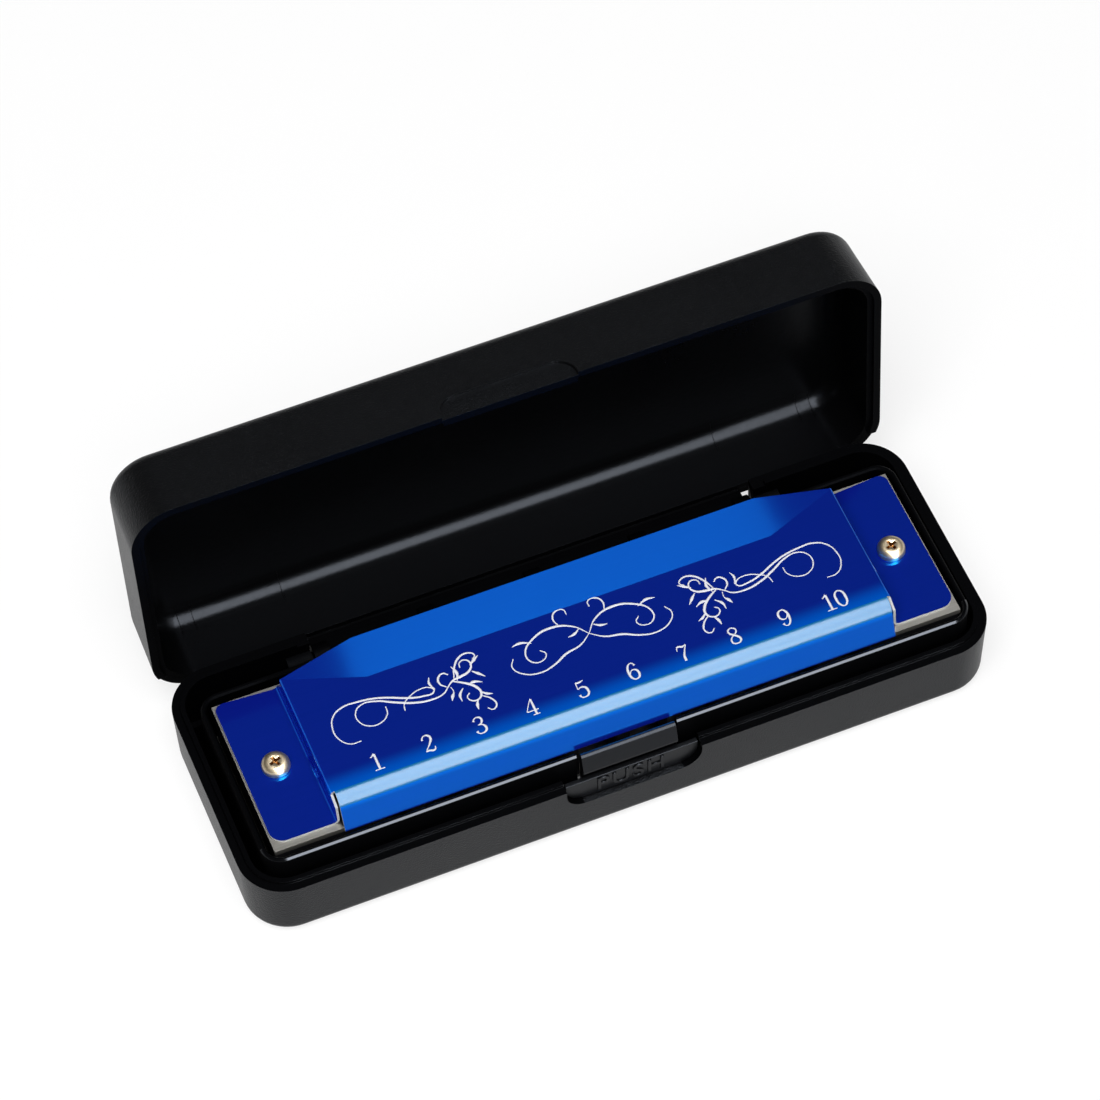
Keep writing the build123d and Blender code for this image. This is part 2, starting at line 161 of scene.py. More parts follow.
def soften(obj: Piece, width: float) -> None:
    """Break the sharp edges of a moulding, as its mould leaves them.

    Args:
        obj: The piece.
        width: How wide the broken edge is, in metres.
    """
    sharp_turn, smooth_turn = 28, 32
    modify(obj, "BEVEL", width=width, segments=2, limit_method="ANGLE",
           angle_limit=math.radians(sharp_turn), use_clamp_overlap=True, miter_outer="MITER_ARC")
    smooth(obj, smooth_turn)
    modify(obj, "WEIGHTED_NORMAL", keep_sharp=True, weight=60)


def copy_of_node(node: str, name: str) -> Piece:
    """A copy of a moulded solid, with its loose triangles merged into clean faces.

    Args:
        node: The solid's name.
        name: The new piece's name.

    Returns:
        The new piece, with its place in its mesh.
    """
    flat_turn = 0.4
    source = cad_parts[node]
    piece = bpy.data.objects.new(name, source.data.copy())
    bpy.context.scene.collection.objects.link(piece)
    piece.matrix_world = source.matrix_world.copy()
    settle(piece)
    if piece.data.has_custom_normals:
        bpy.ops.mesh.customdata_custom_splitnormals_clear()
    pick(piece, "FACE")
    bpy.ops.mesh.remove_doubles(threshold=0.1 * TOUCH)
    bpy.ops.mesh.dissolve_limited(angle_limit=math.radians(flat_turn))
    return piece


# Finishes

@dataclass
class Nodes:
    """A short way to put nodes into a tree and wire them.

    Attributes:
        tree: The node tree to fill.
    """

    tree: bpy.types.NodeTree

    def feed(self, node: Node, inputs: dict[object, object]) -> None:
        """Set or wire the inputs of a node.

        Args:
            node: The node.
            inputs: Socket name or number to a value or to another node's output socket.
        """
        for socket, value in inputs.items():
            if isinstance(value, Socket):
                self.tree.links.new(value, node.inputs[socket])
            else:
                node.inputs[socket].default_value = value

    def add(self, kind: str, inputs: dict[object, object] | None = None,
            **settings: object) -> Node:
        """Add one node, set its properties and feed its inputs.

        Args:
            kind: The node's type.
            inputs: What its inputs are fed.
            **settings: Values for the node's own properties.

        Returns:
            The new node.
        """
        node = self.tree.nodes.new(kind)
        for name, value in settings.items():
            setattr(node, name, value)
        self.feed(node, inputs or {})
        return node

    def group(self, name: str, inputs: dict[object, object] | None = None) -> Sockets:
        """Place a shared node group and feed it, and give back its outputs."""
        return self.add("ShaderNodeGroup", inputs, node_tree=bpy.data.node_groups[name]).outputs

    def place(self) -> Socket:
        """The object's own coordinates."""
        return self.add("ShaderNodeTexCoord").outputs["Object"]

    def math(self, operation: str, first: object, second: object) -> Socket:
        """One arithmetic step, such as "MULTIPLY", on two values or sockets."""
        return self.add("ShaderNodeMath", {0: first, 1: second}, operation=operation).outputs[0]

    def ramp(self, value: Socket, none: float, full: float) -> Socket:
        """A soft step.

        Args:
            value: What is measured.
            none: Value at which the mask is 0.
            full: Value at which the mask is 1.

        Returns:
            The mask's socket.
        """
        return self.add("ShaderNodeMapRange", {"Value": value, "From Min": none, "From Max": full},
                        interpolation_type="SMOOTHSTEP").outputs["Result"]

    def noise(self, place: Socket, scale: object, detail: float = 2.0,
              roughness: float = 0.5, distortion: float = 0.0) -> Socket:
        """A plain noise field.

        Args:
            place: The coordinates.
            scale: Cells to the metre.
            detail: Octaves.
            roughness: How strong the finer octaves are.
            distortion: How far the cells are pulled about.

        Returns:
            The noise value's socket.
        """
        return self.add("ShaderNodeTexNoise", {
            "Vector": place, "Scale": scale, "Detail": detail, "Roughness": roughness,
            "Distortion": distortion}).outputs["Fac"]

    def mix(self, factor: object, first: object, second: object) -> Socket:
        """Blend two colours.

        Args:
            factor: Value or socket, 0 for the first colour.
            first: One colour, or its socket.
            second: The other colour, or its socket.

        Returns:
            The blended colour's socket.
        """
        first, second = ((*tone, 1.0) if isinstance(tone, tuple) else tone
                         for tone in (first, second))
        return self.add("ShaderNodeMix", {0: factor, 6: first, 7: second},
                        data_type="RGBA").outputs[2]


def new_group(name: str, inputs: dict[str, object], *outputs: str) -> tuple[Nodes, Sockets]:
    """An empty shader node group with its sockets.

    Args:
        name: The group's name.
        inputs: The default of each input, a number or a vector.
        *outputs: The names of its outputs, which are all numbers.

    Returns:
        A helper to fill the group, and the sockets of its inputs.
    """
    tree = bpy.data.node_groups.new(name, "ShaderNodeTree")
    for label, default in inputs.items():
        kind = "NodeSocketVector" if isinstance(default, tuple) else "NodeSocketFloat"
        socket = tree.interface.new_socket(name=label, in_out="INPUT", socket_type=kind)
        socket.default_value = default
    for label in outputs:
        tree.interface.new_socket(name=label, in_out="OUTPUT", socket_type="NodeSocketFloat")
    nodes = Nodes(tree)
    return nodes, nodes.add("NodeGroupInput").outputs


def mould_grain_group() -> None:
    """Fine pebbled grain of a spark-eroded mould, as a height and a change of roughness."""
    nodes, given = new_group("MouldGrain", {"Grain Size": 0.3 * MM}, "Height", "Dullness")
    place = nodes.place()
    per_metre = nodes.math("DIVIDE", 1.0, given["Grain Size"])
    pebbles = nodes.noise(place, per_metre)
    cells = nodes.add("ShaderNodeTexVoronoi", {"Vector": place, "Scale": per_metre},
                      feature="SMOOTH_F1").outputs["Distance"]
    height = nodes.math("ADD", pebbles, cells)
    nodes.add("NodeGroupOutput", {"Height": height, "Dullness": pebbles})


def handling_group() -> None:
    """Soft patches where hands have polished or dulled a surface, and a little dust."""
    mean_noise, specks_per_metre, clean, dusty = 0.5, 5200.0, 0.72, 0.8
    nodes, given = new_group("Handling", {"Patch Size": 20 * MM, "Strength": 0.1},
                             "Dullness", "Dust")
    place = nodes.place()
    per_metre = nodes.math("DIVIDE", 1.0, given["Patch Size"])
    patch = nodes.noise(place, per_metre, detail=4.0, distortion=0.6)
    dull = nodes.math("MULTIPLY", nodes.math("SUBTRACT", patch, mean_noise), given["Strength"])
    specks = nodes.noise(place, specks_per_metre, detail=1.0)
    dust = nodes.add("ShaderNodeMapRange",
                     {"Value": specks, "From Min": clean, "From Max": dusty})
    nodes.add("NodeGroupOutput", {"Dullness": dull, "Dust": dust.outputs["Result"]})


def brushing_group() -> None:
    """Long fine lines of rolled and brushed sheet."""
    nodes, given = new_group("Brushing", {"Stretch": (60.0, 4000.0, 4000.0)}, "Lines")
    stretched = nodes.add("ShaderNodeVectorMath", {0: nodes.place(), 1: given["Stretch"]},
                          operation="MULTIPLY").outputs["Vector"]
    lines = nodes.noise(stretched, scale=1.0, detail=3.0, roughness=0.6)
    nodes.add("NodeGroupOutput", {"Lines": lines})


def blank_material(name: str) -> tuple[Material, Nodes, Node]:
    """A new material with its plain shader.

    Args:
        name: The material's name.

    Returns:
        The material, a helper to fill its tree, and its shader.
    """
    material = bpy.data.materials.new(name)
    material.use_nodes = True
    return material, Nodes(material.node_tree), material.node_tree.nodes["Principled BSDF"]


@dataclass(frozen=True)
class Finish:
    """What every finish shares: a gloss that varies in patches, and a fine relief.

    Attributes:
        name: Material name.
        colour: Base colour.
        roughness: Mean roughness.
        handling: How strongly the gloss varies in patches.
        relief: Height of the fine relief, in metres.
    """

    name: str
    colour: Colour
    roughness: float
    handling: float
    relief: float

    def make(self) -> Material:
        """Build the material.

        Returns:
            The material.
        """
        material, nodes, shader = blank_material(self.name)
        hands = nodes.group("Handling", {"Strength": self.handling})
        rough = nodes.math("ADD", self.roughness, hands["Dullness"])
        height, inputs = self.surface(nodes, hands["Dust"], rough)
        bump = nodes.add("ShaderNodeBump", {"Height": height, "Distance": self.relief})
        nodes.feed(shader, {"Roughness": rough, "Normal": bump.outputs["Normal"], **inputs})
        return material


@dataclass(frozen=True)
class Plastic(Finish):
    """A moulded plastic or printed finish.

    Attributes:
        grain: Grain size in metres.
        shine: Specular level.
        glint: Tint of the reflections.
        dulling: How much duller the grain makes the surface.
        dusting: How much of the dust shows.
    """

    grain: float
    shine: float
    glint: Colour = (0.80, 0.87, 1.0)
    dulling: float = 0.06
    dusting: float = 0.25

    def surface(self, nodes: Nodes, dust: Socket, rough: Socket) -> Surface:
        """Mould grain, with dust that lightens the colour.

        Args:
            nodes: Helper of the material's tree.
            dust: Mask of the dust.
            rough: The roughness so far.

        Returns:
            The relief's height, and what the shader's inputs are fed.
        """
        lightening, least = 3, 0.01
        grain = nodes.group("MouldGrain", {"Grain Size": self.grain})
        dusty = tuple(min(1.0, channel * lightening + least) for channel in self.colour)
        duller = nodes.math("MULTIPLY", grain["Dullness"], self.dulling)
        return grain["Height"], {
            "Roughness": nodes.math("ADD", rough, duller),
            "Base Color": nodes.mix(nodes.math("MULTIPLY", dust, self.dusting),
                                    self.colour, dusty),
            "Specular IOR Level": self.shine, "Specular Tint": (*self.glint, 1.0)}


@dataclass(frozen=True)
class Metal(Finish):
    """A bare metal finish.

    Attributes:
        shade: A second colour that the first drifts to along the brushing.
    """

    shade: Colour

    def surface(self, nodes: Nodes, *_: Socket) -> Surface:
        """Brushed metal.

        Args:
            nodes: Helper of the material's tree.
            *_: The dust and the roughness so far, which metal has no use for.

        Returns:
            The relief's height, and what the shader's inputs are fed.
        """
        lines = nodes.group("Brushing")["Lines"]
        return lines, {"Base Color": nodes.mix(lines, self.colour, self.shade), "Metallic": 1.0}


@dataclass(frozen=True)
class Lacquer(Metal):
    """A deeply tinted lacquer over bright sheet: dark in itself, bright blue where it mirrors, and
    painted lighter towards the front bend as a highlight.

    Attributes:
        mirror: Tint of what it mirrors.
        index: Refractive index that sets how strongly it mirrors.
        coat: Weight of the clear coat.
        gloss: Roughness of the clear coat.
        thin: Lighter blue painted on towards the front bend as a highlight.
        full_to_thin: Depths in the case between which the painted highlight fades in.
        under_to_top: Heights between which the painted highlight sets in on the top.
        skirt_to_bend: Depths between which the painted highlight fades out towards the skirt.
    """

    mirror: Colour
    index: float
    coat: float
    gloss: float = 0.05
    thin: Colour = (0.0, 0.090, 0.56)
    full_to_thin: Pair = (-9.2 * MM, -12.25 * MM)
    under_to_top: Pair = (18.0 * MM, 19.0 * MM)
    skirt_to_bend: Pair = (-14.6 * MM, -14.1 * MM)

    def surface(self, nodes: Nodes, *_: Socket) -> Surface:
        """Brushed sheet seen through the lacquer, with a lighter painted highlight towards the
        front bend.

        Args:
            nodes: Helper of the material's tree.
            *_: The dust and the roughness so far, which metal has no use for.

        Returns:
            The relief's height, and what the shader's inputs are fed.
        """
        lines, inputs = super().surface(nodes)
        place = nodes.add("ShaderNodeSeparateXYZ", {"Vector": nodes.place()}).outputs
        # Mask of the painted highlight: lighter blue on the top towards the front bend, fading out
        # again towards the skirt.
        thin = nodes.math("MULTIPLY", nodes.ramp(place["Y"], *self.full_to_thin),
                          nodes.ramp(place["Z"], *self.under_to_top))
        thin = nodes.math("MULTIPLY", thin, nodes.ramp(place["Y"], *self.skirt_to_bend))
        return lines, {"Base Color": nodes.mix(thin, inputs["Base Color"], self.thin),
                       "IOR": self.index, "Specular Tint": (*self.mirror, 1.0),
                       "Coat Weight": self.coat, "Coat Roughness": self.gloss}


FINISHES: dict[str, Finish] = {
    "outside": Plastic("TexturedPlastic", (0.0013, 0.0013, 0.0014), roughness=0.36,
                       handling=0.08, relief=0.045 * MM, grain=0.22 * MM, shine=0.165),
    "inside": Plastic("SmoothPlastic", (0.0012, 0.0012, 0.0014), roughness=0.15,
                      handling=0.06, relief=0.002 * MM, grain=1.0 * MM, shine=0.28),
    "lid": Plastic("LidSmoothPlastic", (0.0010, 0.0010, 0.0012), roughness=0.27,
                   handling=0.08, relief=0.009 * MM, grain=0.7 * MM, shine=0.11),
    "latch": Plastic("LatchSmoothPlastic", (0.0012, 0.0012, 0.0014), roughness=0.32,
                     handling=0.06, relief=0.002 * MM, grain=1.0 * MM, shine=0.175),
    # Painted shade: a darker and duller copy of the case plastic, for faces that are to look
    # shaded.
    "deep": Plastic("PaintedShadePlastic", (0.0006, 0.0006, 0.0008), roughness=0.50,
                    handling=0.05, relief=0.004 * MM, grain=0.4 * MM, shine=0.015),
    "edge": Plastic("CutSheetEdge", (0.40, 0.41, 0.42), roughness=0.50, handling=0.05,
                    relief=0.002 * MM, grain=0.4 * MM, shine=0.25, glint=WHITE),
    "comb": Plastic("CombPlastic", (0.006, 0.006, 0.007), roughness=0.38, handling=0.08,
                    relief=0.004 * MM, grain=0.4 * MM, shine=0.12),
    "blue": Lacquer("BlueLacqueredSheet", (0.004, 0.011, 0.25), roughness=0.09,
                    handling=0.03, relief=0.0004 * MM, shade=(0.002, 0.009, 0.22),
                    mirror=(0.0, 0.265, 1.0), index=3.4, coat=0.03),
    # Painted highlight: the bend's base colour is a brighter cyan blue standing in for the lamps'
    # reflection round the nose, beside the real reflection of its coat.
    "bend": Lacquer("BlueLacquerPaintedHighlightOnBend", (0.0, 0.120, 0.29), roughness=0.36, handling=0.02,
                    relief=0.0002 * MM, shade=(0.0, 0.130, 0.31), mirror=(0.03, 0.11, 0.14),
                    index=1.5, coat=0.47, gloss=0.20, thin=(0.0, 0.12, 0.30)),
    "plate": Metal("ReedPlateMetal", (0.40, 0.39, 0.36), roughness=0.36, handling=0.16,
                   relief=0.004 * MM, shade=(0.25, 0.24, 0.22)),
    "reed": Metal("ReedBrass", (0.72, 0.52, 0.24), roughness=0.25, handling=0.1,
                  relief=0.001 * MM, shade=(0.62, 0.43, 0.18)),
    "screw": Metal("ScrewBrass", (0.66, 0.59, 0.45), roughness=0.38, handling=0.2,
                   relief=0.002 * MM, shade=(0.50, 0.38, 0.22)),
    "recess": Metal("ScrewRecess", (0.30, 0.15, 0.05), roughness=0.40, handling=0.2,
                    relief=0.002 * MM, shade=(0.16, 0.07, 0.02)),
    "print": Plastic("SilverInk", (0.68, 0.68, 0.73), roughness=0.42, handling=0.05,
                     relief=0.001 * MM, grain=0.3 * MM, shine=0.5, glint=WHITE),
}


def make_finishes() -> Palette:
    """Build the shared node groups and every finish.

    Returns:
        The materials by short name.
    """
    mould_grain_group()
    handling_group()
    brushing_group()
    return {key: finish.make() for key, finish in FINISHES.items()}


# Studio

class LampTask(Enum):
    """What a lamp does: fill shadows, or be mirrored in gloss."""

    FILL = "fill"
    MIRROR = "mirror"


@dataclass
class Softbox:
    """One large soft lamp.

    Attributes:
        name: The lamp's name.
        place: Where it hangs, in metres.
        aim: The point that it faces.
        size: Its two sides, in metres.
        watts: Its power.
        task: What the lamp is there for.
    """

    name: str
    place: Point
    aim: Point
    size: Pair
    watts: float
    task: LampTask

    def hang(self) -> None:
        """Put the lamp into the scene."""
        lamp = bpy.data.lights.new(self.name, "AREA")
        lamp.shape = "RECTANGLE"
        lamp.size, lamp.size_y = self.size
        lamp.energy = self.watts
        holder = bpy.data.objects.new(self.name, lamp)
        holder.location = self.place
        away = Vector(self.place) - Vector(self.aim)
        holder.rotation_euler = away.to_track_quat("Z", "Y").to_euler()
        holder.visible_diffuse = self.task is LampTask.FILL
        holder.visible_glossy = self.task is LampTask.MIRROR
        bpy.context.scene.collection.objects.link(holder)


@dataclass
class Studio:
    """Camera, soft lamps, pale floor and world.

    Attributes:
        eye: The camera's place in metres.
        right: The picture's right in the frame.
        down: The picture's downward direction in the frame.
        lens: Focal length, in millimetres.
        sensor: Width of the film, in millimetres.
        floor_radius: Radius of the flat floor, in metres.
        rim_step: Length of each step of the floor's raised rim, in metres.
        rim_turns: How steep each of those steps is, in degrees.
        papers: The two colours between which the floor's paper drifts.
        paper_white: How far the paper is seen as pure white.
        sky: Strength of the world's even light.
        lamps: The lamps.
    """

    eye: Point = (-0.133196, -0.347145, 0.566214)
    right: Point = (0.9259067, -0.37714543, -0.02140343)
    down: Point = (-0.31992683, -0.75278426, -0.57529356)
    lens: float = 157.63
    sensor: float = 36.0
    floor_radius: float = 2.2
    rim_step: float = 0.182
    rim_turns: tuple[int, ...] = (15, 30, 45, 60, 75, 90)
    papers: tuple[Colour, Colour] = ((0.90, 0.90, 0.90), (0.93, 0.93, 0.93))
    paper_white: float = 0.72
    sky: float = 0.07
    lamps: list[Softbox] = field(default_factory=lambda: [
        Softbox("SoftboxAbove", (0.195, 0.0, 0.95), (0.195, 0.0, 0.0), (0.29, 0.66), 0.60,
                LampTask.MIRROR),
        Softbox("SoftboxFill", (-0.3, -0.5, 1.2), (0.0, 0.0, 0.0), (1.0, 1.0), 25.0,
                LampTask.FILL),
        Softbox("StripHigh", (0.19, -0.367, 0.909), (0.19, 0.0, 0.01), (0.40, 1.13), 28.0,
                LampTask.MIRROR),
        Softbox("StripLow", (0.19, -0.915, 0.351), (0.19, 0.0, 0.01), (0.40, 0.60), 15.0,
                LampTask.MIRROR),
    ])

    def camera(self) -> None:
        """Set up the camera."""
        eye = bpy.data.objects.new("Camera", bpy.data.cameras.new("Camera"))
        right, up = Vector(self.right), -Vector(self.down)
        turn = Matrix((right, up, right.cross(up))).transposed().to_4x4()
        eye.matrix_world = Matrix.Translation(self.eye) @ turn
        eye.data.sensor_width = self.sensor
        eye.data.lens = self.lens
        eye.data.clip_start = 0.01
        bpy.context.scene.collection.objects.link(eye)
        bpy.context.scene.camera = eye

    def paper(self) -> Material:
        """The floor's pale paper, which the camera and mirrors see as nearly pure white.

        Returns:
            The material.
        """
        material, nodes, shader = blank_material("FloorPaper")
        tone = nodes.mix(nodes.noise(nodes.place(), scale=40.0, detail=4.0), *self.papers)
        nodes.feed(shader, {"Roughness": 0.9, "Specular IOR Level": 0.1, "Base Color": tone})
        path = nodes.add("ShaderNodeLightPath").outputs
        seen = nodes.math("MAXIMUM", path["Is Camera Ray"], path["Is Glossy Ray"])
        seen = nodes.math("MAXIMUM", seen, path["Is Transmission Ray"])
        white = nodes.add("ShaderNodeEmission", {"Color": (*WHITE, 1.0), "Strength": 1.0})
        blend = nodes.add("ShaderNodeMixShader", {
            0: nodes.math("MULTIPLY", seen, self.paper_white),
            1: shader.outputs["BSDF"], 2: white.outputs["Emission"]})
        nodes.feed(nodes.tree.nodes["Material Output"], {"Surface": blend.outputs["Shader"]})
        return material

    def floor(self) -> None:
        """A round pale floor whose edge curves up all the way round."""
        deselect_all()
        bpy.ops.mesh.primitive_circle_add(vertices=96, radius=self.floor_radius,
                                          fill_type="NGON")
        sweep = bpy.context.object
        sweep.name = "Floor"
        margin = 0.1 * MM
        for angle in map(math.radians, self.rim_turns):
            deselect_all()
            rim = max(vertex.co.length for vertex in sweep.data.vertices) - margin
            pick(sweep, "EDGE", lambda edge: all(
                end.length > rim for end in edge_ends(sweep, edge)))
            bpy.ops.mesh.extrude_edges_move()
            grow = 1 + self.rim_step * math.cos(angle) / self.floor_radius
            bpy.ops.transform.resize(value=(grow, grow, 1))
            bpy.ops.transform.translate(value=(0, 0, self.rim_step * math.sin(angle)))
        settle(sweep)
        smooth(sweep, degrees=30)
        sweep.data.materials.append(self.paper())

    def world(self) -> None:
        """Even grey light from all round."""
        world = bpy.data.worlds.new("StudioWorld")
        world.use_nodes = True
        sky = world.node_tree.nodes["Background"]
        Nodes(world.node_tree).feed(sky, {"Color": (*WHITE, 1.0), "Strength": self.sky})
        bpy.context.scene.world = world

    def build(self) -> None:
        """Put up the whole studio."""
        self.camera()
        self.floor()
        self.world()
        for lamp in self.lamps:
            lamp.hang()
        bpy.context.scene.view_settings.view_transform = "Standard"


@dataclass
class Assembly:
    """Part of the object that is built and dressed by itself.

    Attributes:
        finishes: The materials by short name.
        pieces: Its finished pieces.
    """

    finishes: Palette
    pieces: list[Piece] = field(default_factory=list)

    def paint(self, obj: Piece, *finishes: str) -> None:
        """Give an object its finishes, one slot each.

        Args:
            obj: The object.
            *finishes: Their short names.
        """
        obj.data.materials.clear()
        for finish in finishes:
            obj.data.materials.append(self.finishes[finish])

    def mount(self, obj: Piece, body: str, slot: str, *nodes: str) -> None:
        """Hang a finished piece on its body and hide the solids that it stands for.

        Args:
            obj: The finished piece.
            body: The body that carries it.
            slot: The record's material slot; not used.
            *nodes: The nodes that it replaces, if any.
        """
        settle(obj)
        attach(obj, body)
        if nodes:
            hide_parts(*nodes)
        self.pieces.append(obj)


# The case

class Grade(Enum):
    """Which of a shell's finishes a face takes."""

    OUTSIDE = 0
    INSIDE = 1
    # Painted shade: the plastic made darker and duller than it is.
    DEEP = 2


@dataclass
class Case(Assembly):
    """Base, lid and latch of the snap case.

    Attributes:
        hinge: Depth and height of the hinge line, in metres.
        opening: How far the lid stands open, in degrees.
        skin: Depth below the outer surface that still counts as outside.
        half_length: Half the length at the parting line.
        half_width: Half the width at the parting line.
        rim: Height of the parting line.
        rim_band: How far from it the flat rims may lie.
        lip: How far below it the painted shade of the base's inside starts.
        draft: How far the walls lean in for each metre away from it.
        top: Height of the closed lid's top.
        corner: Radius of the case's corners in plan.
        window_half: Half length of the push pad's window.
        window_back: Depth up to which the window's sides reach.
        tub_front: Depth behind which the base's inside is out of the light and takes the painted
            shade.
        level_look: How far up or down a level face's normal reaches at least.
        side_look: How far sideways the normal of a window's side reaches at least.
        edge: Width of the shells' broken edges.
        tongue_edge: Width of the tongue's broken edges.
        word_place: Middle of the word on the push pad.
        word_size: Height of its line of type.
        word_spacing: How far its letters are spread.
        word_relief: How far it stands out from the pad, with its bevel left out.
        word_bevel: Rounding of its letters.
        rounding: Depth and height of the axis of the shut lid's inner rounding.
        rounding_r: Radius of the witness lines on it.
        rounding_arc: Where they start and end, in degrees.
        insert_edges: Where they stand along the lid, in millimetres.
        witness_pen: Half width of a witness line.
    """

    hinge: Pair = (17.33 * MM, 7.06 * MM)
    opening: float = 93.5
    skin: float = 1.0 * MM
    half_length: float = 55.35 * MM
    half_width: float = 19.4 * MM
    rim: float = 11.2 * MM
    rim_band: float = 0.8 * MM
    lip: float = 0.3 * MM
    draft: float = 0.032
    top: float = 22.9 * MM
    corner: float = 6.7 * MM
    window_half: float = 10.6 * MM
    window_back: float = -15.0 * MM
    tub_front: float = -9.0 * MM
    level_look: float = 0.95
    side_look: float = 0.3
    edge: float = 0.22 * MM
    tongue_edge: float = 0.16 * MM
    word_place: Point = (-0.23 * MM, -18.40 * MM, 7.95 * MM)
    word_size: float = 3.9 * MM
    word_spacing: float = 1.15
    word_relief: float = 0.12 * MM
    word_bevel: float = 0.07 * MM
    rounding: Pair = (14.57 * MM, 19.1 * MM)
    rounding_r: float = 2.59 * MM
    rounding_arc: Pair = (-8, 98)
    insert_edges: tuple[float, ...] = (-46.5, -33.3, 33.3, 46.5, 48.6, -48.6)
    witness_pen: float = 0.035 * MM

    def swing(self, degrees: float, point: Vector) -> Vector:
        """Turn a point of the lid about the hinge line, closing it where degrees is positive.

        Args:
            degrees: How far the lid turns.
            point: A point on the lid.

        Returns:
            Where the point comes to lie.
        """
        pivot = Vector((0.0, *self.hinge))
        return pivot + Matrix.Rotation(math.radians(degrees), 3, "X") @ (point - pivot)

    def grade(self, body: str, place: Vector, normal: Vector) -> Grade:
        """Say whether a face of a shell is textured outside, glossy inside, or in painted shade: a
        darker, duller copy of the plastic.

        Args:
            body: The shell's body, "base" or "lid".
            place: The face's middle, with the lid shut.
            normal: The face's normal, with the lid shut.

        Returns:
            The grade.
        """
        gaps = self.half_length - abs(place.x), self.half_width - abs(place.y)
        off_corner = math.hypot(*(max(0.0, self.corner - gap) for gap in gaps))
        lean = self.draft * abs(place.z - self.rim)
        inward = min(*gaps, self.corner - off_corner) - lean
        below = place.z < self.rim - self.lip
        level, sideways = abs(normal.z) > self.level_look, abs(normal.x) > self.side_look
        # Painted shade on the flat rims at the parting line, on the window's sides, and inside
        # below the rim or behind the tub's front.
        if level and abs(place.z - self.rim) < self.rim_band:
            return Grade.DEEP
        if below and sideways and abs(place.x) < self.window_half and place.y < self.window_back:
            return Grade.DEEP
        if inward <= self.skin or not self.skin < place.z < self.top - self.skin:
            return Grade.OUTSIDE
        in_tub = body == "base" and place.y > self.tub_front
        return Grade.DEEP if below or in_tub else Grade.INSIDE

    def shell(self, body: str) -> None:
        """Make one half of the case.

        Args:
            body: The body that it is, "base" or "lid".
        """
        piece = copy_of_node(f"{body}_shell", f"{body}_moulding")
        soften(piece, self.edge)
        self.paint(piece, "outside", "lid" if body == "lid" else "inside", "deep")
        turn = Matrix.Rotation(math.radians(self.opening), 3, "X")
        for face in piece.data.polygons:
            place, normal = face.center.copy(), face.normal.copy()
            if body == "lid":
                place, normal = self.swing(self.opening, place), turn @ normal
            face.material_index = self.grade(body, place, normal).value
        self.mount(piece, body, "case_plastic", f"{body}_shell")

    def tongue(self) -> None:
        """Make the springy latch tongue with its push pad, all in the smooth finish."""
        piece = copy_of_node("latch_tongue", "latch_moulding")
        soften(piece, self.tongue_edge)
        self.paint(piece, "latch")
        self.mount(piece, "latch", "case_plastic", "latch_tongue")

    def push_word(self) -> None:
        """Make the raised word on the pad that says where to press."""
        deselect_all()
        bpy.ops.object.text_add(location=self.word_place, rotation=(math.radians(90), 0, 0))
        word = bpy.context.object
        word.name = "push_word"
        word.data.body = "PUSH"
        word.data.align_x = "CENTER"
        word.data.size = self.word_size
        word.data.space_character = self.word_spacing
        word.data.extrude = self.word_relief
        word.data.bevel_depth = self.word_bevel
        word.data.bevel_resolution = 1
        bpy.ops.object.convert(target="MESH")
        word = settle(bpy.context.object)
        self.paint(word, "latch")
        self.mount(word, "latch", "case_plastic")

    def witness_lines(self) -> None:
        """Make the fine lines that the mould's inserts leave on the lid's inner rounding."""
        (depth, height), (first, last), steps = self.rounding, self.rounding_arc, 8
        strokes = []
        for x in self.insert_edges:
            arc = []
            for step in range(steps + 1):
                angle = math.radians(first + (last - first) * step / steps)
                point = Vector((x * MM, depth + self.rounding_r * math.cos(angle),
                                height + self.rounding_r * math.sin(angle)))
                arc.append((*self.swing(-self.opening, point), 1.0))
            strokes.append(arc)
        lines = ink("lid_witness_lines", strokes, self.witness_pen)
        self.paint(lines, "lid")
        self.mount(lines, "lid", "case_plastic")

    def build(self) -> None:
        """Make the case's pieces."""
        self.shell("base")
        self.shell("lid")
        self.tongue()
        self.push_word()
        self.witness_lines()


# The harmonica

def ink(name: str, strokes: Iterable[Iterable[tuple[float, float, float, float]]],
        pen: float) -> Piece:
    """Draw smooth strokes of varying weight as one mesh.

    Args:
        name: The piece's name.
        strokes: For each stroke its points: x, y, z and weight.
        pen: Half the width of a stroke of weight 1, in metres.

    Returns:
        The strokes as a mesh.
    """
    deselect_all()
    bpy.ops.curve.primitive_bezier_curve_add()
    drawing = bpy.context.object
    drawing.name = name
    curve = drawing.data
    curve.splines.clear()
    curve.dimensions = "3D"
    curve.bevel_depth = pen
    curve.bevel_resolution = 1
    curve.resolution_u = 5
    curve.use_fill_caps = True
    for stroke in strokes:
        points = list(stroke)
        spline = curve.splines.new("BEZIER")
        spline.bezier_points.add(len(points) - 1)
        for knot, (*place, weight) in zip(spline.bezier_points, points):
            knot.co = place
            knot.radius = weight
            knot.handle_left_type = knot.handle_right_type = "AUTO"
    take(drawing)
    bpy.ops.object.convert(target="MESH")
    return bpy.context.object


